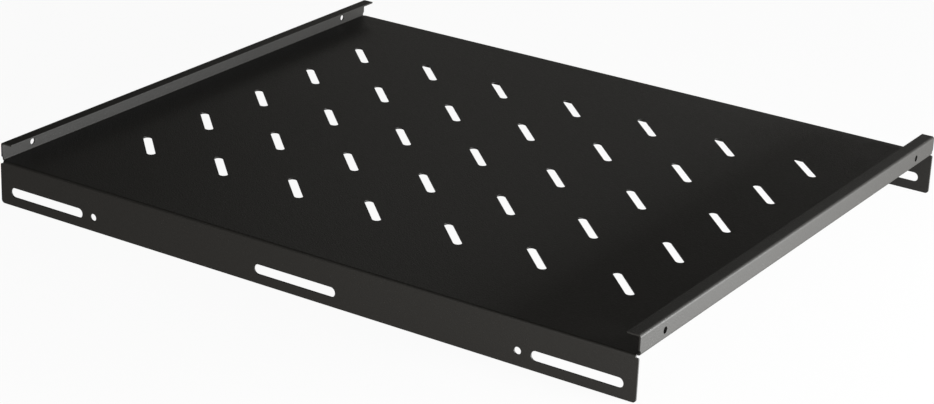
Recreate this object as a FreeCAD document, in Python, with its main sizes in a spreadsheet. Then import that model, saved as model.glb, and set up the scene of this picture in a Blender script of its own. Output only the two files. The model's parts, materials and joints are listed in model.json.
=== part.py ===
import FreeCAD, Part
import math
import os

import Sketcher
from FreeCAD import Vector

# A rack shelf folded from one steel sheet.
# X runs along the two hanging flanges that bolt to the rack's posts, Y runs across the shelf, Z is up.
# The origin is the centre of the rectangle that the shelf stands on, level with the flanges' lower edges.

# Driving sizes in millimetres: name, value, what it is.
SIZES = [
    ("sheet_thickness", 1.2, "steel sheet"),
    ("bend_radius", 0.6, "inside radius of every fold"),
    ("shelf_length", 500.0, "outside of one side channel to outside of the other"),
    ("shelf_width", 425.0, "outside of one hanging flange to outside of the other"),
    ("plate_height", 31.0, "top of the plate above the hanging flanges' lower edges"),
    ("channel_rise", 12.7, "top of the side channels' lips above the plate"),
    ("lip_width", 9.5, "outside of a side channel to the free edge of its lip"),
    ("channel_setback", 0.9, "end of a side channel behind the hanging flange's face"),
    ("flange_corner_radius", 2.5, "lower corners of the hanging flanges"),
    ("flange_shoulder_radius", 0.8, "upper corners of the hanging flanges, beside the corner reliefs"),
    ("relief_clearance", 0.35, "corner relief past the end of a fold"),
    ("grid_pitch", 63.5, "slot to slot in the plate, both ways"),
    ("grid_margin", 56.0, "least distance from the shelf's outside to a slot's centre"),
    ("grid_slot_length", 36.0, "plate slot, end to end"),
    ("grid_slot_width", 6.0, "plate slot, side to side"),
    ("grid_slot_angle", -45.0, "plate slot's direction from X, in degrees"),
    ("post_line_height", 10.0, "post slots and holes above the flange's lower edge"),
    ("post_slot_length", 64.0, "post slot, end to end"),
    ("post_slot_width", 6.8, "post slot, side to side, for an M6 screw"),
    ("post_slot_inset", 41.0, "end of the flange to the centre of the nearest post slot"),
    ("post_hole_inset", 82.5, "end of the flange to the centre of the nearest post hole"),
    ("post_hole_diameter", 5.0, "locating hole beside an end slot"),
    ("channel_hole_inset", 31.0, "end of the shelf to the centre of a side channel's hole"),
    ("channel_hole_height", 5.0, "centre of a side channel's hole above the plate"),
    ("channel_hole_diameter", 4.5, "hole in a side channel"),
]

# Sizes that follow from the driving ones.
OUTSIDE_BEND = "(sizes.sheet_thickness + sizes.bend_radius)"
RELIEF = f"({OUTSIDE_BEND} + sizes.relief_clearance)"
RELIEF_CORNER = "(sizes.bend_radius + sizes.relief_clearance)"
COLUMNS = "(floor((sizes.shelf_length - 2 * sizes.grid_margin) / sizes.grid_pitch) + 1)"
ROWS = "(floor((sizes.shelf_width - 2 * sizes.grid_margin) / sizes.grid_pitch) + 1)"

SYMMETRIC = 2
THROUGH_ALL = "ThroughAll"
START, END, CENTRE = 1, 2, 3
ORIGIN = (-1, START)
NEAR = 1e-6


def make_sheet(doc):
    """The spreadsheet of driving sizes, one row for each, with an alias for each value."""
    sheet = doc.addObject("Spreadsheet::Sheet", "sizes")
    for row, (name, value, note) in enumerate(SIZES, start=1):
        sheet.set(f"A{row}", name)
        sheet.set(f"B{row}", str(value))
        sheet.set(f"C{row}", note)
        sheet.setAlias(f"B{row}", name)
    doc.recompute()


def make_sketch(body, role, name):
    """An empty sketch on one of the body's own origin planes."""
    plane = next(item for item in body.Origin.OriginFeatures if item.Role == role)
    sketch = body.newObject("Sketcher::SketchObject", name)
    sketch.AttachmentSupport = [(plane, "")]
    sketch.MapMode = "FlatFace"
    return sketch


def add_line(sketch, start, end):
    """A straight edge between two points of the sketch."""
    return sketch.addGeometry(Part.LineSegment(Vector(*start, 0), Vector(*end, 0)), False)


def add_arc(sketch, centre, radius, first, last):
    """An arc that turns anticlockwise from one angle to the other, both in degrees."""
    circle = Part.Circle(Vector(*centre, 0), Vector(0, 0, 1), radius)
    return sketch.addGeometry(Part.ArcOfCircle(circle, math.radians(first), math.radians(last)), False)


def add_circle(sketch, centre, radius):
    """A full circle."""
    return sketch.addGeometry(Part.Circle(Vector(*centre, 0), Vector(0, 0, 1), radius), False)


def relate(sketch, kind, *references):
    """A constraint that has no number, such as Coincident or Tangent."""
    sketch.addConstraint(Sketcher.Constraint(kind, *references))


def dimension(sketch, name, kind, references, expression):
    """A named dimension that starts at what is drawn and is then driven by an expression."""
    if kind == "Radius":
        drawn = sketch.Geometry[references[0]].Radius
    else:
        first = sketch.getPoint(*references[:2])
        last = sketch.getPoint(*references[2:])
        drawn = last.x - first.x if kind == "DistanceX" else last.y - first.y
    index = sketch.addConstraint(Sketcher.Constraint(kind, *references, drawn))
    sketch.renameConstraint(index, name)
    sketch.setExpression(f"Constraints.{name}", expression)


def place(sketch, name, geometry, position, across, up):
    """Dimensions from the origin to one point of the geometry, along both sketch axes."""
    dimension(sketch, f"{name}_across", "DistanceX", (*ORIGIN, geometry, position), across)
    dimension(sketch, f"{name}_up", "DistanceY", (*ORIGIN, geometry, position), up)


def make_pad(body, sketch, name, length):
    """A pad of equal length on both sides of the sketch."""
    pad = body.newObject("PartDesign::Pad", name)
    pad.Profile = sketch
    pad.SideType = SYMMETRIC
    pad.setExpression("Length", length)
    return pad


def make_pocket(body, sketch, name):
    """A pocket that runs right through the sheet on both sides of the sketch."""
    pocket = body.newObject("PartDesign::Pocket", name)
    pocket.Profile = sketch
    pocket.SideType = SYMMETRIC
    pocket.Type = THROUGH_ALL


def make_mirror(body, features, role, name):
    """The same features on the other side of one of the body's origin planes."""
    plane = next(item for item in body.Origin.OriginFeatures if item.Role == role)
    mirror = body.newObject("PartDesign::Mirrored", name)
    mirror.Originals = features
    mirror.MirrorPlane = (plane, [""])
    body.Tip = mirror


def draw_plate_section(body, size):
    """Half of the plate's section across X, with the fold that turns up into a side channel."""
    half = size["shelf_length"] / 2
    top = size["plate_height"]
    sheet = size["sheet_thickness"]
    inside = size["bend_radius"]
    outside = sheet + inside
    sketch = make_sketch(body, "XZ_Plane", "plate_section")
    centre = (half - outside, top + inside)
    underside = add_line(sketch, (0, top - sheet), (half - outside, top - sheet))
    outer = add_arc(sketch, centre, outside, -90, 0)
    rim = add_line(sketch, (half, top + inside), (half - sheet, top + inside))
    inner = add_arc(sketch, centre, inside, -90, 0)
    face = add_line(sketch, (half - outside, top), (0, top))
    middle = add_line(sketch, (0, top), (0, top - sheet))
    relate(sketch, "Tangent", underside, END, outer, START)
    relate(sketch, "Coincident", outer, END, rim, START)
    relate(sketch, "Coincident", rim, END, inner, END)
    relate(sketch, "Tangent", inner, START, face, START)
    relate(sketch, "Coincident", face, END, middle, START)
    relate(sketch, "Coincident", middle, END, underside, START)
    relate(sketch, "Coincident", outer, CENTRE, inner, CENTRE)
    relate(sketch, "Horizontal", underside)
    relate(sketch, "Horizontal", rim)
    relate(sketch, "Horizontal", face)
    relate(sketch, "Vertical", middle)
    relate(sketch, "PointOnObject", outer, CENTRE, rim)
    relate(sketch, "PointOnObject", middle, START, -2)
    dimension(sketch, "inside_bend", "Radius", (inner,), "sizes.bend_radius")
    dimension(sketch, "outside_bend", "Radius", (outer,), OUTSIDE_BEND)
    place(sketch, "fold", outer, CENTRE, f"sizes.shelf_length / 2 - {OUTSIDE_BEND}",
          "sizes.plate_height + sizes.bend_radius")
    return sketch


def draw_channel_section(body, size):
    """A side channel's upright wall, its upper fold and its lip, above the plate's own fold."""
    half = size["shelf_length"] / 2
    low = size["plate_height"] + size["bend_radius"]
    high = size["plate_height"] + size["channel_rise"]
    sheet = size["sheet_thickness"]
    inside = size["bend_radius"]
    outside = sheet + inside
    tip = half - size["lip_width"]
    sketch = make_sketch(body, "XZ_Plane", "channel_section")
    centre = (half - outside, high - outside)
    back = add_line(sketch, (half, low), (half, high - outside))
    outer = add_arc(sketch, centre, outside, 0, 90)
    top = add_line(sketch, (half - outside, high), (tip, high))
    edge = add_line(sketch, (tip, high), (tip, high - sheet))
    underside = add_line(sketch, (tip, high - sheet), (half - outside, high - sheet))
    inner = add_arc(sketch, centre, inside, 0, 90)
    front = add_line(sketch, (half - sheet, high - outside), (half - sheet, low))
    foot = add_line(sketch, (half - sheet, low), (half, low))
    relate(sketch, "Tangent", back, END, outer, START)
    relate(sketch, "Tangent", outer, END, top, START)
    relate(sketch, "Coincident", top, END, edge, START)
    relate(sketch, "Coincident", edge, END, underside, START)
    relate(sketch, "Tangent", underside, END, inner, END)
    relate(sketch, "Tangent", inner, START, front, START)
    relate(sketch, "Coincident", front, END, foot, START)
    relate(sketch, "Coincident", foot, END, back, START)
    relate(sketch, "Coincident", outer, CENTRE, inner, CENTRE)
    relate(sketch, "Vertical", back)
    relate(sketch, "Horizontal", top)
    relate(sketch, "Vertical", edge)
    relate(sketch, "Horizontal", underside)
    relate(sketch, "Vertical", front)
    relate(sketch, "Horizontal", foot)
    dimension(sketch, "inside_bend", "Radius", (inner,), "sizes.bend_radius")
    dimension(sketch, "outside_bend", "Radius", (outer,), OUTSIDE_BEND)
    place(sketch, "fold", outer, CENTRE, f"sizes.shelf_length / 2 - {OUTSIDE_BEND}",
          f"sizes.plate_height + sizes.channel_rise - {OUTSIDE_BEND}")
    dimension(sketch, "lip_edge", "DistanceX", (*ORIGIN, edge, START),
              "sizes.shelf_length / 2 - sizes.lip_width")
    dimension(sketch, "foot_up", "DistanceY", (*ORIGIN, foot, START),
              "sizes.plate_height + sizes.bend_radius")
    return sketch


def draw_flange_section(body, size):
    """The fold that turns down from the plate's long edge, and the hanging flange below it."""
    half = size["shelf_width"] / 2
    top = size["plate_height"]
    sheet = size["sheet_thickness"]
    inside = size["bend_radius"]
    outside = sheet + inside
    sketch = make_sketch(body, "YZ_Plane", "flange_section")
    centre = (half - outside, top - outside)
    outer = add_arc(sketch, centre, outside, 0, 90)
    face = add_line(sketch, (half, top - outside), (half, 0))
    edge = add_line(sketch, (half, 0), (half - sheet, 0))
    rear = add_line(sketch, (half - sheet, 0), (half - sheet, top - outside))
    inner = add_arc(sketch, centre, inside, 0, 90)
    seam = add_line(sketch, (half - outside, top - sheet), (half - outside, top))
    relate(sketch, "Tangent", outer, START, face, START)
    relate(sketch, "Coincident", face, END, edge, START)
    relate(sketch, "Coincident", edge, END, rear, START)
    relate(sketch, "Tangent", rear, END, inner, START)
    relate(sketch, "Coincident", inner, END, seam, START)
    relate(sketch, "Coincident", seam, END, outer, END)
    relate(sketch, "Coincident", outer, CENTRE, inner, CENTRE)
    relate(sketch, "Vertical", face)
    relate(sketch, "Vertical", rear)
    relate(sketch, "Horizontal", edge)
    relate(sketch, "Vertical", seam)
    relate(sketch, "PointOnObject", edge, START, -1)
    relate(sketch, "PointOnObject", outer, CENTRE, seam)
    dimension(sketch, "inside_bend", "Radius", (inner,), "sizes.bend_radius")
    dimension(sketch, "outside_bend", "Radius", (outer,), OUTSIDE_BEND)
    place(sketch, "fold", outer, CENTRE, f"sizes.shelf_width / 2 - {OUTSIDE_BEND}",
          f"sizes.plate_height - {OUTSIDE_BEND}")
    return sketch


def draw_circle(sketch, name, centre, radius, across, up, radius_expression):
    """A circle with a driven radius and a driven centre."""
    circle = add_circle(sketch, centre, radius)
    dimension(sketch, f"{name}_radius", "Radius", (circle,), radius_expression)
    place(sketch, name, circle, CENTRE, across, up)


def draw_slot(sketch, name, centre, length, width, middle):
    """A slot with round ends along the sketch's first axis.

    Its length and width come with the sheet's names for them, and middle holds its centre's expressions.
    """
    reach = (length[0] - width[0]) / 2
    radius = width[0] / 2
    left, right = centre[0] - reach, centre[0] + reach
    low, high = centre[1] - radius, centre[1] + radius
    first = add_arc(sketch, (left, centre[1]), radius, 90, 270)
    lower = add_line(sketch, (left, low), (right, low))
    last = add_arc(sketch, (right, centre[1]), radius, -90, 90)
    upper = add_line(sketch, (right, high), (left, high))
    relate(sketch, "Tangent", first, END, lower, START)
    relate(sketch, "Tangent", lower, END, last, START)
    relate(sketch, "Tangent", last, END, upper, START)
    relate(sketch, "Tangent", upper, END, first, START)
    relate(sketch, "Horizontal", lower)
    relate(sketch, "Horizontal", upper)
    half = f"({length[1]} - {width[1]}) / 2"
    dimension(sketch, f"{name}_end_radius", "Radius", (first,), f"{width[1]} / 2")
    place(sketch, f"{name}_first", first, CENTRE, f"{middle[0]} - {half}", middle[1])
    dimension(sketch, f"{name}_last_across", "DistanceX", (*ORIGIN, last, CENTRE), f"{middle[0]} + {half}")


def draw_plate_notch(body, size, reach):
    """A square in plan about the near right corner, from the plate's underside to the fold's centre."""
    long_half = size["shelf_length"] / 2
    wide_half = size["shelf_width"] / 2
    left, right = long_half - reach, long_half + reach
    low, high = -wide_half - reach, reach - wide_half
    sketch = make_sketch(body, "XY_Plane", "plate_notch")
    lower = add_line(sketch, (left, low), (right, low))
    last = add_line(sketch, (right, low), (right, high))
    upper = add_line(sketch, (right, high), (left, high))
    first = add_line(sketch, (left, high), (left, low))
    relate(sketch, "Coincident", lower, END, last, START)
    relate(sketch, "Coincident", last, END, upper, START)
    relate(sketch, "Coincident", upper, END, first, START)
    relate(sketch, "Coincident", first, END, lower, START)
    relate(sketch, "Horizontal", lower)
    relate(sketch, "Vertical", last)
    relate(sketch, "Horizontal", upper)
    relate(sketch, "Vertical", first)
    place(sketch, "outer", last, START,
          f"sizes.shelf_length / 2 + {RELIEF}", f"-sizes.shelf_width / 2 - {RELIEF}")
    place(sketch, "inner", first, START,
          f"sizes.shelf_length / 2 - {RELIEF}", f"{RELIEF} - sizes.shelf_width / 2")
    sketch.setExpression("AttachmentOffset.Base.z", "sizes.plate_height + sizes.bend_radius")
    return sketch


def draw_channel_bite(body, size, reach):
    """Half a disc about the shelf's near edge, which takes the foot of the channel's wall away."""
    edge = -size["shelf_width"] / 2
    level = size["plate_height"] + size["bend_radius"]
    sketch = make_sketch(body, "YZ_Plane", "channel_bite")
    arc = add_arc(sketch, (edge, level), reach, 0, 180)
    chord = add_line(sketch, (edge - reach, level), (edge + reach, level))
    relate(sketch, "Coincident", arc, END, chord, START)
    relate(sketch, "Coincident", chord, END, arc, START)
    relate(sketch, "Horizontal", chord)
    relate(sketch, "PointOnObject", arc, CENTRE, chord)
    dimension(sketch, "reach", "Radius", (arc,), RELIEF)
    place(sketch, "bite", arc, CENTRE, "-sizes.shelf_width / 2", "sizes.plate_height + sizes.bend_radius")
    sketch.setExpression("AttachmentOffset.Base.z", "sizes.shelf_length / 2")
    return sketch


def draw_flange_notch(body, size, reach):
    """A notch in the flange's right end, round inside, with the flange's corner rounded below it."""
    half = size["shelf_length"] / 2
    top = size["plate_height"] + size["bend_radius"]
    middle = size["plate_height"] - size["sheet_thickness"]
    inner = size["bend_radius"] + size["relief_clearance"]
    shoulder = size["flange_shoulder_radius"]
    depth = half - reach
    ledge = middle - inner
    beyond = half + reach
    sketch = make_sketch(body, "XZ_Plane", "flange_notch")
    wall = add_line(sketch, (depth, top), (depth, middle))
    hollow = add_arc(sketch, (depth + inner, middle), inner, 180, 270)
    floor = add_line(sketch, (depth + inner, ledge), (half - shoulder, ledge))
    corner = add_arc(sketch, (half - shoulder, ledge - shoulder), shoulder, 0, 90)
    foot = add_line(sketch, (half, ledge - shoulder), (beyond, ledge - shoulder))
    side = add_line(sketch, (beyond, ledge - shoulder), (beyond, top))
    roof = add_line(sketch, (beyond, top), (depth, top))
    relate(sketch, "Tangent", wall, END, hollow, START)
    relate(sketch, "Tangent", hollow, END, floor, START)
    relate(sketch, "Tangent", floor, END, corner, END)
    relate(sketch, "Coincident", corner, START, foot, START)
    relate(sketch, "Coincident", foot, END, side, START)
    relate(sketch, "Coincident", side, END, roof, START)
    relate(sketch, "Coincident", roof, END, wall, START)
    relate(sketch, "Vertical", wall)
    relate(sketch, "Horizontal", floor)
    relate(sketch, "Horizontal", foot)
    relate(sketch, "Vertical", side)
    relate(sketch, "Horizontal", roof)
    relate(sketch, "PointOnObject", corner, CENTRE, foot)
    dimension(sketch, "hollow", "Radius", (hollow,), RELIEF_CORNER)
    dimension(sketch, "shoulder", "Radius", (corner,), "sizes.flange_shoulder_radius")
    place(sketch, "wall", wall, END, f"sizes.shelf_length / 2 - {RELIEF}",
          "sizes.plate_height - sizes.sheet_thickness")
    dimension(sketch, "corner_across", "DistanceX", (*ORIGIN, corner, CENTRE),
              "sizes.shelf_length / 2 - sizes.flange_shoulder_radius")
    place(sketch, "beyond", side, END, f"sizes.shelf_length / 2 + {RELIEF}",
          "sizes.plate_height + sizes.bend_radius")
    sketch.setExpression("AttachmentOffset.Base.z", "sizes.shelf_width / 2")
    return sketch


def cut_corner_reliefs(body, size):
    """A relief at each corner of the plate, so that the folds up and down never meet.

    A square notch through the plate reaches past both folds. Above it the channel's wall ends in a round
    bite of the same reach, and below it the notch runs on past the end of the flange's fold. The cuts are
    made at the near right corner and mirrored to the other three.
    """
    reach = size["sheet_thickness"] + size["bend_radius"] + size["relief_clearance"]
    cuts = []
    for draw in (draw_plate_notch, draw_channel_bite, draw_flange_notch):
        sketch = draw(body, size, reach)
        cut = body.newObject("PartDesign::Pocket", f"{sketch.Name}_cut")
        cut.Profile = sketch
        cut.setExpression("Length", OUTSIDE_BEND)
        cuts.append(cut)
    body.Tip = cuts[-1]

    reliefs = body.newObject("PartDesign::MultiTransform", "corner_reliefs")
    reliefs.Originals = cuts
    steps = []
    for role, name in (("YZ_Plane", "reliefs_left"), ("XZ_Plane", "reliefs_far")):
        plane = next(item for item in body.Origin.OriginFeatures if item.Role == role)
        mirror = body.newObject("PartDesign::Mirrored", name)
        mirror.MirrorPlane = (plane, [""])
        steps.append(mirror)
    reliefs.Transformations = steps
    body.Tip = reliefs


def round_flange_corners(body, size):
    """Rounds the two lower corners of each hanging flange."""
    body.Document.recompute()
    base = body.Tip
    corners = []
    for number, edge in enumerate(base.Shape.Edges, start=1):
        middle = edge.CenterOfMass
        at_end = abs(abs(middle.x) - size["shelf_length"] / 2) < NEAR
        at_bottom = abs(middle.z) < NEAR
        if at_end and at_bottom:
            corners.append(f"Edge{number}")
    fillet = body.newObject("PartDesign::Fillet", "flange_corners")
    fillet.Base = (base, corners)
    fillet.setExpression("Radius", "sizes.flange_corner_radius")


def cut_post_openings(body, size):
    """Three long slots and two round holes in each hanging flange, all on one line."""
    half = size["shelf_length"] / 2
    line = size["post_line_height"]
    length = (size["post_slot_length"], "sizes.post_slot_length")
    width = (size["post_slot_width"], "sizes.post_slot_width")
    sketch = make_sketch(body, "XZ_Plane", "post_openings")
    for name, sign in (("left", -1), ("middle", 0), ("right", 1)):
        centre = (sign * (half - size["post_slot_inset"]), line)
        across = f"{sign} * (sizes.shelf_length / 2 - sizes.post_slot_inset)"
        draw_slot(sketch, name, centre, length, width, (across, "sizes.post_line_height"))
    for name, sign in (("left_hole", -1), ("right_hole", 1)):
        centre = (sign * (half - size["post_hole_inset"]), line)
        draw_circle(sketch, name, centre, size["post_hole_diameter"] / 2,
                    f"{sign} * (sizes.shelf_length / 2 - sizes.post_hole_inset)", "sizes.post_line_height",
                    "sizes.post_hole_diameter / 2")
    make_pocket(body, sketch, "post_openings_cut")


def cut_channel_holes(body, size):
    """One round hole near each end of each side channel."""
    reach = size["shelf_width"] / 2 - size["channel_hole_inset"]
    level = size["plate_height"] + size["channel_hole_height"]
    sketch = make_sketch(body, "YZ_Plane", "channel_holes")
    for name, sign in (("near", -1), ("far", 1)):
        draw_circle(sketch, name, (sign * reach, level), size["channel_hole_diameter"] / 2,
                    f"{sign} * (sizes.shelf_width / 2 - sizes.channel_hole_inset)",
                    "sizes.plate_height + sizes.channel_hole_height", "sizes.channel_hole_diameter / 2")
    make_pocket(body, sketch, "channel_holes_cut")


def cut_plate_slots(body, size):
    """The grid of slanted slots in the plate: one slot, repeated along X and along Y."""
    sketch = make_sketch(body, "XY_Plane", "plate_slot")
    length = (size["grid_slot_length"], "sizes.grid_slot_length")
    width = (size["grid_slot_width"], "sizes.grid_slot_width")
    draw_slot(sketch, "slot", (0, 0), length, width, ("0", "0"))
    sketch.setExpression("AttachmentOffset.Base.x", f"-({COLUMNS} - 1) * sizes.grid_pitch / 2")
    sketch.setExpression("AttachmentOffset.Base.y", f"-({ROWS} - 1) * sizes.grid_pitch / 2")
    sketch.setExpression("AttachmentOffset.Base.z", "sizes.plate_height")
    sketch.setExpression("AttachmentOffset.Rotation.Angle", "sizes.grid_slot_angle")
    pocket = body.newObject("PartDesign::Pocket", "plate_slot_cut")
    pocket.Profile = sketch
    pocket.setExpression("Length", "sizes.sheet_thickness")
    body.Tip = pocket

    grid = body.newObject("PartDesign::MultiTransform", "plate_slots")
    grid.Originals = [pocket]
    steps = []
    for role, name, count in (("X_Axis", "slot_columns", COLUMNS), ("Y_Axis", "slot_rows", ROWS)):
        axis = next(item for item in body.Origin.OriginFeatures if item.Role == role)
        pattern = body.newObject("PartDesign::LinearPattern", name)
        pattern.Direction = (axis, [""])
        pattern.setExpression("Length", f"({count} - 1) * sizes.grid_pitch")
        pattern.setExpression("Occurrences", count)
        steps.append(pattern)
    grid.Transformations = steps
    body.Tip = grid


def make_shelf(doc, size):
    """The folded sheet: plate, side channels with lips, hanging flanges, reliefs, slots and holes."""
    body = doc.addObject("PartDesign::Body", "shelf_sheet")
    body.Label = "shelf_sheet"
    plate = make_pad(body, draw_plate_section(body, size), "plate",
                     f"sizes.shelf_width - 2 * {OUTSIDE_BEND}")
    channel = make_pad(body, draw_channel_section(body, size), "channel",
                       "sizes.shelf_width - 2 * sizes.channel_setback")
    make_mirror(body, [plate, channel], "YZ_Plane", "both_channels")
    flange = make_pad(body, draw_flange_section(body, size), "flange", "sizes.shelf_length")
    make_mirror(body, [flange], "XZ_Plane", "both_flanges")
    round_flange_corners(body, size)
    cut_corner_reliefs(body, size)
    cut_post_openings(body, size)
    cut_channel_holes(body, size)
    cut_plate_slots(body, size)
    return body


def check_features(doc):
    """Stops if a feature failed, or if a cut took nothing away."""
    for item in doc.Objects:
        if "Invalid" in item.State or "Error" in item.State:
            raise RuntimeError(f"{item.Name} failed: {item.State}")
        if item.TypeId == "PartDesign::Pocket" and item.Shape.Volume > item.BaseFeature.Shape.Volume - NEAR:
            raise RuntimeError(f"{item.Name} cuts nothing")


def export(body):
    """Writes the finished sheet after testing that it is one sound solid."""
    shape = body.Shape
    if shape.isNull() or not shape.isValid():
        raise RuntimeError(f"{body.Label} is not a valid shape")
    if len(shape.Solids) != 1:
        raise RuntimeError(f"{body.Label} is in {len(shape.Solids)} pieces")
    os.makedirs("parts", exist_ok=True)
    shape.exportStep(f"parts/{body.Label}.step")
    box = shape.BoundBox
    print(f"{body.Label}: {box.XLength:.2f} x {box.YLength:.2f} x {box.ZLength:.2f} mm, "
          f"{shape.Volume / 1000:.2f} cm3, {len(shape.Faces)} faces")


document = FreeCAD.newDocument("rack_shelf")
make_sheet(document)
values = {name: value for name, value, note in SIZES}
shelf = make_shelf(document, values)
document.recompute()
check_features(document)
export(shelf)
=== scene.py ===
"""Rack shelf, dressed: one folded steel sheet in fine textured black powder coat, on a pale studio floor.

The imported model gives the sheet's exact form. Here its sheared edges get the small round that a coat
of powder leaves on them, its folds are shaded smooth, and the sheet gets its finish. The studio round
it is a pale floor, soft boxes and a camera that stands where the photograph was taken from.
"""

import json
import logging
import math
from dataclasses import dataclass, field
from enum import Enum

import bmesh
import bpy
from mathutils import Matrix, Vector


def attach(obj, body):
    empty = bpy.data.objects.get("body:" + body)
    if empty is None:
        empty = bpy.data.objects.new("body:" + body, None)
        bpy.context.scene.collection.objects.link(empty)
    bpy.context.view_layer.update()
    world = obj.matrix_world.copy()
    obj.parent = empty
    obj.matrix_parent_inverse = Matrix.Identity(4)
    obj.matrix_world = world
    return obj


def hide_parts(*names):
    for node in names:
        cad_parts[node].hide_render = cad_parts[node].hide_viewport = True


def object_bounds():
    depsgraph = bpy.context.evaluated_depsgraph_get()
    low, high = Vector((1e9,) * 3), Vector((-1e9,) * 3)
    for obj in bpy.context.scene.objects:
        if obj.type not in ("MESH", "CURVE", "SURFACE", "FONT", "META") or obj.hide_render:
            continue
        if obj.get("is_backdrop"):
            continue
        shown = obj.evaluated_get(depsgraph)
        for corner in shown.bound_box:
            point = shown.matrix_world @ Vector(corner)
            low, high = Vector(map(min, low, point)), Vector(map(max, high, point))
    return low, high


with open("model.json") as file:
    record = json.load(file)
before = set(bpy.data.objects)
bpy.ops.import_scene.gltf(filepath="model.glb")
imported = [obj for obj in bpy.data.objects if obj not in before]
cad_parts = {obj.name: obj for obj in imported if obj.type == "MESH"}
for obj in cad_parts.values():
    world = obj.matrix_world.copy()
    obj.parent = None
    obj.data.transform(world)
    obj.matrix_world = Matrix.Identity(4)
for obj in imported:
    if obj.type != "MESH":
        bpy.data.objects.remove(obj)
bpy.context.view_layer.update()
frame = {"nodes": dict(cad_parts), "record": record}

LOG = logging.getLogger("rack_shelf")
MM = 0.001
WHITE = (1.0, 1.0, 1.0, 1.0)
NOISE_LOW = 0.3
NOISE_HIGH = 0.7
OCTAVE_STRENGTH = 0.55


class Slot(Enum):
    """The record's material slots."""

    POWDER_COAT = "powder_coat"


class Seen(Enum):
    """The kinds of ray by which an eye sees a surface, as Light Path names them."""

    STRAIGHT = "Is Camera Ray"
    MIRRORED = "Is Glossy Ray"
    THROUGH = "Is Transmission Ray"


def recorded_colour(slot: Slot) -> tuple[float, float, float, float]:
    """Read a slot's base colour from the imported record.

    Args:
        slot: The material slot.

    Returns:
        The linear colour, with an alpha of one.
    """
    for material in frame["record"]["materials"]:
        if material["slot"] == slot.value:
            return (*material["base_color"], 1.0)
    raise LookupError(f"the record has no material slot {slot.value}")


class Tint(Enum):
    """The soft boxes' colours: a shade warm, and a shade cool to hold the bright side walls neutral."""

    WARM = (1.0, 0.975, 0.93)
    COOL = (0.99, 1.0, 1.0)


class NodeSheet:
    """A material's node tree, with short ways to add and join its nodes."""

    def __init__(self, name: str) -> None:
        """Start an empty material.

        Args:
            name: The material's name.
        """
        self.material = bpy.data.materials.new(name)
        self.material.use_nodes = True
        self.tree = self.material.node_tree
        self.tree.nodes.clear()
        self.output = self.add("ShaderNodeOutputMaterial")

    def add(self, kind: str, **settings: object) -> bpy.types.Node:
        """Add one node.

        Args:
            kind: The node's type.
            **settings: Properties to set on the node.

        Returns:
            The new node.
        """
        node = self.tree.nodes.new(kind)
        for name, value in settings.items():
            setattr(node, name, value)
        return node

    def join(self, source: bpy.types.NodeSocket, target: bpy.types.NodeSocket) -> None:
        """Link an output socket to an input socket."""
        self.tree.links.new(source, target)

    def noise(self, place: bpy.types.NodeSocket, grain: float, detail: float) -> bpy.types.NodeSocket:
        """Add a noise whose features have a real size.

        Args:
            place: The socket that gives the coordinates, in metres.
            grain: The size of one feature in metres.
            detail: How many finer octaves lie on it.

        Returns:
            The noise's value socket.
        """
        node = self.add("ShaderNodeTexNoise", noise_dimensions="3D")
        node.inputs["Scale"].default_value = 1 / grain
        node.inputs["Detail"].default_value = detail
        node.inputs["Roughness"].default_value = OCTAVE_STRENGTH
        self.join(place, node.inputs["Vector"])
        return node.outputs["Fac"]

    def spread(self, value: bpy.types.NodeSocket, low: float, high: float) -> bpy.types.NodeSocket:
        """Map a noise's middle range to a range of values.

        Args:
            value: The noise's value socket.
            low: The result where the noise is low.
            high: The result where the noise is high.

        Returns:
            The mapped value's socket.
        """
        node = self.add("ShaderNodeMapRange")
        node.inputs["From Min"].default_value = NOISE_LOW
        node.inputs["From Max"].default_value = NOISE_HIGH
        node.inputs["To Min"].default_value = low
        node.inputs["To Max"].default_value = high
        self.join(value, node.inputs["Value"])
        return node.outputs["Result"]

    def bump(
        self, height: bpy.types.NodeSocket, depth: float, under: bpy.types.NodeSocket | None = None
    ) -> bpy.types.NodeSocket:
        """Add a bump of a real depth.

        Args:
            height: The socket that gives the height, from 0 to 1.
            depth: The depth in metres that a height of 1 stands for.
            under: The normal that this bump lies on, if any.

        Returns:
            The bumped normal's socket.
        """
        node = self.add("ShaderNodeBump")
        node.inputs["Strength"].default_value = 1.0
        node.inputs["Distance"].default_value = depth
        self.join(height, node.inputs["Height"])
        if under is not None:
            self.join(under, node.inputs["Normal"])
        return node.outputs["Normal"]


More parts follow.
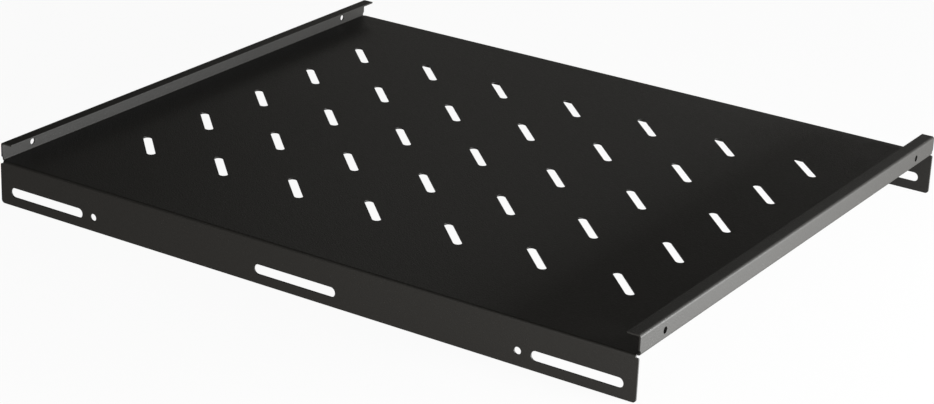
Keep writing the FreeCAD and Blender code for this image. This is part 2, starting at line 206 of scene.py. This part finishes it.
@dataclass(frozen=True)
class PowderCoat:
    """Satin black powder coat: an even orange peel with a fine grain on it, and rougher in spots."""

    name: str = "black_powder_coat"
    slot: Slot = Slot.POWDER_COAT
    shade_spread: float = 0.10
    spot_size: float = 1.6 * MM
    spot_detail: float = 3.0
    peel_size: float = 1.1 * MM
    peel_detail: float = 1.0
    peel_depth: float = 0.14 * MM
    grain_size: float = 0.35 * MM
    grain_detail: float = 2.0
    grain_depth: float = 0.015 * MM
    rough_low: float = 0.56
    rough_high: float = 0.63
    gloss: float = 0.45

    def material(self) -> bpy.types.Material:
        """Make the coat's material.

        Returns:
            A material on object coordinates.
        """
        sheet = NodeSheet(self.name)
        place = sheet.add("ShaderNodeTexCoord").outputs["Object"]
        shader = sheet.add("ShaderNodeBsdfPrincipled")
        shader.inputs["Specular IOR Level"].default_value = self.gloss
        sheet.join(self.colour(sheet, place), shader.inputs["Base Color"])
        spots = sheet.noise(place, self.spot_size, self.spot_detail)
        sheet.join(sheet.spread(spots, self.rough_low, self.rough_high), shader.inputs["Roughness"])
        peel = sheet.noise(place, self.peel_size, self.peel_detail)
        grain = sheet.noise(place, self.grain_size, self.grain_detail)
        peeled = sheet.bump(peel, self.peel_depth)
        sheet.join(sheet.bump(grain, self.grain_depth, peeled), shader.inputs["Normal"])
        sheet.join(shader.outputs["BSDF"], sheet.output.inputs["Surface"])
        return sheet.material

    def colour(self, sheet: NodeSheet, place: bpy.types.NodeSocket) -> bpy.types.NodeSocket:
        """Make the coat's colour, a little lighter and darker from grain to grain.

        Args:
            sheet: The node tree to build in.
            place: The coordinates' socket.

        Returns:
            The colour's socket.
        """
        base = recorded_colour(self.slot)
        mix = sheet.add("ShaderNodeMix", data_type="RGBA")
        dark, light = (
            [channel * (1 + side * self.shade_spread) for channel in base[:3]] + [1.0] for side in (-1, 1)
        )
        mix.inputs["A"].default_value = dark
        mix.inputs["B"].default_value = light
        speckle = sheet.noise(place, self.grain_size, self.grain_detail)
        sheet.join(sheet.spread(speckle, 0.0, 1.0), mix.inputs["Factor"])
        return mix.outputs["Result"]


@dataclass(frozen=True)
class StudioWhite:
    """The floor's finish: matt white, seen near pure white and with only a faint shadow of the shelf.

    The coat mirrors it as a warm grey, like a studio floor that is lit less than the picture's white.
    """

    name: str = "studio_white"
    paint: float = 0.85
    lift: float = 0.95
    mirrored: tuple[float, float, float] = (0.58, 0.555, 0.52)

    def material(self) -> bpy.types.Material:
        """Make the floor's material.

        Returns:
            A matt white that glows only for the rays by which it is seen.
        """
        sheet = NodeSheet(self.name)
        matt = sheet.add("ShaderNodeBsdfDiffuse")
        matt.inputs["Color"].default_value = (self.paint, self.paint, self.paint, 1.0)
        path = sheet.add("ShaderNodeLightPath")
        glow = sheet.add("ShaderNodeEmission")
        glow.inputs["Strength"].default_value = 1.0
        sheet.join(self.glow_colour(sheet, path), glow.inputs["Color"])
        mix = sheet.add("ShaderNodeMixShader")
        sheet.join(self.seen(sheet, path), mix.inputs["Fac"])
        sheet.join(matt.outputs["BSDF"], mix.inputs[1])
        sheet.join(glow.outputs["Emission"], mix.inputs[2])
        sheet.join(mix.outputs["Shader"], sheet.output.inputs["Surface"])
        sheet.material.cycles.emission_sampling = "NONE"
        return sheet.material

    def glow_colour(self, sheet: NodeSheet, path: bpy.types.Node) -> bpy.types.NodeSocket:
        """Make the glow's colour: white where the floor is looked at, dimmer where the coat mirrors it.

        Args:
            sheet: The node tree to build in.
            path: The Light Path node.

        Returns:
            The colour's socket.
        """
        mix = sheet.add("ShaderNodeMix", data_type="RGBA")
        mix.inputs["A"].default_value = WHITE
        mix.inputs["B"].default_value = (*self.mirrored, 1.0)
        sheet.join(path.outputs[Seen.MIRRORED.value], mix.inputs["Factor"])
        return mix.outputs["Result"]

    def seen(self, sheet: NodeSheet, path: bpy.types.Node) -> bpy.types.NodeSocket:
        """Make the share of glow, which is above zero only where the floor is looked at.

        Args:
            sheet: The node tree to build in.
            path: The Light Path node.

        Returns:
            The share's socket.
        """
        most, *others = (path.outputs[kind.value] for kind in Seen)
        for other in others:
            either = sheet.add("ShaderNodeMath", operation="MAXIMUM")
            sheet.join(most, either.inputs[0])
            sheet.join(other, either.inputs[1])
            most = either.outputs[0]
        share = sheet.add("ShaderNodeMath", operation="MULTIPLY")
        share.inputs[1].default_value = self.lift
        sheet.join(most, share.inputs[0])
        return share.outputs[0]


@dataclass
class CoatedSheet:
    """The folded and pierced sheet, with the soft edges that its coat gives it."""

    node: str = "shelf_sheet"
    name: str = "coated_sheet"
    body: str = "root"
    finish: PowderCoat = field(default_factory=PowderCoat)
    weld: float = 0.002 * MM
    flat_within: float = math.radians(0.4)
    cut_angle: float = math.radians(60)
    coat_round: float = 0.15 * MM
    round_segments: int = 2
    flats_weight: int = 100

    def build(self) -> bpy.types.Object:
        """Build the sheet's piece, dress it and put it in the sheet's place.

        Returns:
            The finished object.
        """
        mesh = bpy.data.meshes.new(self.name)
        shape = bmesh.new()
        shape.from_mesh(frame["nodes"][self.node].data)
        self.merge(shape)
        self.round_edges(shape)
        shape.to_mesh(mesh)
        shape.free()
        piece = bpy.data.objects.new(self.name, mesh)
        bpy.context.scene.collection.objects.link(piece)
        self.shade(piece)
        mesh.materials.append(self.finish.material())
        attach(piece, self.body)
        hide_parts(self.node)
        return piece

    def merge(self, shape: bmesh.types.BMesh) -> None:
        """Join the loose triangles, and take out the edges that lie within a flat face.

        Args:
            shape: The sheet's triangles.
        """
        bmesh.ops.remove_doubles(shape, verts=shape.verts, dist=self.weld)
        bmesh.ops.dissolve_limit(
            shape,
            angle_limit=self.flat_within,
            verts=shape.verts,
            edges=shape.edges,
            use_dissolve_boundaries=False,
        )

    def round_edges(self, shape: bmesh.types.BMesh) -> None:
        """Round each sheared edge: the outline, the slots, the holes and the corner reliefs.

        Args:
            shape: The merged sheet.
        """
        sheared = [
            edge for edge in shape.edges if edge.is_manifold and edge.calc_face_angle() > self.cut_angle
        ]
        bmesh.ops.bevel(
            shape,
            geom=sheared,
            affect="EDGES",
            offset_type="OFFSET",
            offset=self.coat_round,
            segments=self.round_segments,
            profile=0.5,
            material=-1,
            clamp_overlap=False,
        )

    def shade(self, piece: bpy.types.Object) -> None:
        """Shade the folds and rounds smooth, and keep the flats flat.

        Args:
            piece: The sheet's object.
        """
        for polygon in piece.data.polygons:
            polygon.use_smooth = True
        weighted = piece.modifiers.new("flats_stay_flat", "WEIGHTED_NORMAL")
        weighted.mode = "FACE_AREA"
        weighted.weight = self.flats_weight
        weighted.keep_sharp = False


@dataclass(frozen=True)
class SoftBox:
    """One soft box: a lit rectangle that faces a point near the shelf.

    Its bearing is in degrees from +Y towards +X, and its rise in degrees over the floor.
    """

    name: str
    bearing: float
    rise: float
    distance: float
    width: float
    height: float
    power: float
    aim: tuple[float, float, float] = (0.0, 0.0, 0.02)
    tint: Tint = Tint.WARM

    def place(self) -> Vector:
        """Work out where the box hangs.

        Returns:
            Its centre.
        """
        around, up = math.radians(self.bearing), math.radians(self.rise)
        level = Vector((math.sin(around), math.cos(around), 0.0)) * math.cos(up)
        return (level + Vector((0.0, 0.0, math.sin(up)))) * self.distance

    def build(self) -> bpy.types.Object:
        """Hang the soft box.

        Returns:
            The light's object.
        """
        lamp = bpy.data.lights.new(self.name, "AREA")
        lamp.shape = "RECTANGLE"
        lamp.size = self.width
        lamp.size_y = self.height
        lamp.energy = self.power
        lamp.color = self.tint.value
        light = bpy.data.objects.new(self.name, lamp)
        light.location = self.place()
        way = Vector(self.aim) - light.location
        light.rotation_euler = way.to_track_quat("-Z", "Y").to_euler()
        light.visible_camera = False
        bpy.context.scene.collection.objects.link(light)
        return light


@dataclass
class Studio:
    """The pale floor, the dim room and the soft boxes."""

    floor_radius: float = 16.0
    floor_sides: int = 96
    floor_gap: float = 0.1 * MM
    room: float = 0.06
    room_tint: tuple[float, float, float] = (1.0, 0.96, 0.86)
    backdrop: float = 0.97
    finish: StudioWhite = field(default_factory=StudioWhite)
    boxes: tuple[SoftBox, ...] = (
        SoftBox("side_strip", 82.0, 7.0, 1.1, 0.60, 0.10, 34.0, tint=Tint.COOL),
        SoftBox("side_low_strip", 82.0, 2.0, 1.1, 0.60, 0.07, 17.5, tint=Tint.COOL),
        SoftBox("front_left_box", 215.0, 35.0, 1.5, 0.60, 0.40, 1.0),
        SoftBox("front_box", 168.0, 6.6, 0.86, 0.30, 0.14, 1.75, aim=(0.15, -0.21, 0.02)),
        SoftBox("corner_box", 149.0, 7.8, 0.88, 0.25, 0.15, 0.5, aim=(0.25, -0.21, 0.02)),
        SoftBox("back_box", 358.0, 8.0, 1.2, 0.80, 0.20, 0.64),
        SoftBox("back_left_box", 325.0, 16.0, 1.6, 0.60, 0.30, 0.46),
    )

    def build(self) -> None:
        """Lay the floor, light the room and hang the soft boxes."""
        self.lay_floor()
        self.light_room()
        for box in self.boxes:
            box.build()
            LOG.info("%s hung", box.name)

    def lay_floor(self) -> bpy.types.Object:
        """Lay the round floor just under the sheet's lower edges.

        Returns:
            The floor's object.
        """
        mesh = bpy.data.meshes.new("studio_floor")
        shape = bmesh.new()
        low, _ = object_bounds()
        bmesh.ops.create_circle(
            shape,
            cap_ends=True,
            radius=self.floor_radius,
            segments=self.floor_sides,
            matrix=Matrix.Translation((0.0, 0.0, low.z - self.floor_gap)),
        )
        shape.to_mesh(mesh)
        shape.free()
        mesh.materials.append(self.finish.material())
        floor = bpy.data.objects.new("studio_floor", mesh)
        bpy.context.scene.collection.objects.link(floor)
        floor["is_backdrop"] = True
        return floor

    def light_room(self) -> None:
        """Give the room its even dim light, with a white backdrop for the camera's own rays."""
        world = bpy.data.worlds.new("studio_room")
        world.use_nodes = True
        tree = world.node_tree
        dim = tree.nodes["Background"]
        dim.inputs["Color"].default_value = (*self.room_tint, 1.0)
        dim.inputs["Strength"].default_value = self.room
        white = tree.nodes.new("ShaderNodeBackground")
        white.inputs["Color"].default_value = WHITE
        white.inputs["Strength"].default_value = self.backdrop
        path = tree.nodes.new("ShaderNodeLightPath")
        mix = tree.nodes.new("ShaderNodeMixShader")
        tree.links.new(path.outputs[Seen.STRAIGHT.value], mix.inputs["Fac"])
        tree.links.new(dim.outputs["Background"], mix.inputs[1])
        tree.links.new(white.outputs["Background"], mix.inputs[2])
        tree.links.new(mix.outputs["Shader"], tree.nodes["World Output"].inputs["Surface"])
        bpy.context.scene.world = world


@dataclass
class PhotoCamera:
    """The camera, where the photograph was taken from."""

    place: tuple[float, float, float] = (0.86415, -1.37284, 0.65010)
    aim: tuple[float, float, float] = (0.04059, -0.07586, 0.03100)
    roll: float = math.radians(2.413)
    focal_pixels: float = 2487.99
    picture_width: float = 934.0
    sensor: float = 36.0
    nearest: float = 0.05
    farthest: float = 60.0

    def build(self) -> bpy.types.Object:
        """Stand the camera up and make it the scene's own.

        Returns:
            The camera's object.
        """
        lens = bpy.data.cameras.new("photo_camera")
        lens.sensor_fit = "HORIZONTAL"
        lens.sensor_width = self.sensor
        lens.lens = self.focal_pixels * self.sensor / self.picture_width
        lens.clip_start = self.nearest
        lens.clip_end = self.farthest
        camera = bpy.data.objects.new("photo_camera", lens)
        way = Vector(self.aim) - Vector(self.place)
        turn = way.to_track_quat("-Z", "Y").to_matrix() @ Matrix.Rotation(self.roll, 3, "Z")
        camera.matrix_world = Matrix.Translation(self.place) @ turn.to_4x4()
        bpy.context.scene.collection.objects.link(camera)
        bpy.context.scene.camera = camera
        return camera


def main() -> None:
    """Build the sheet, the studio and the camera, and report each."""
    logging.basicConfig(level=logging.INFO, format="%(name)s: %(message)s")
    sheet = CoatedSheet().build()
    LOG.info("%s: %d faces", sheet.name, len(sheet.data.polygons))
    Studio().build()
    camera = PhotoCamera().build()
    LOG.info("%s: lens %.2f mm", camera.name, camera.data.lens)
    bpy.context.scene.view_settings.view_transform = "Standard"


if __name__ == "__main__":
    main()
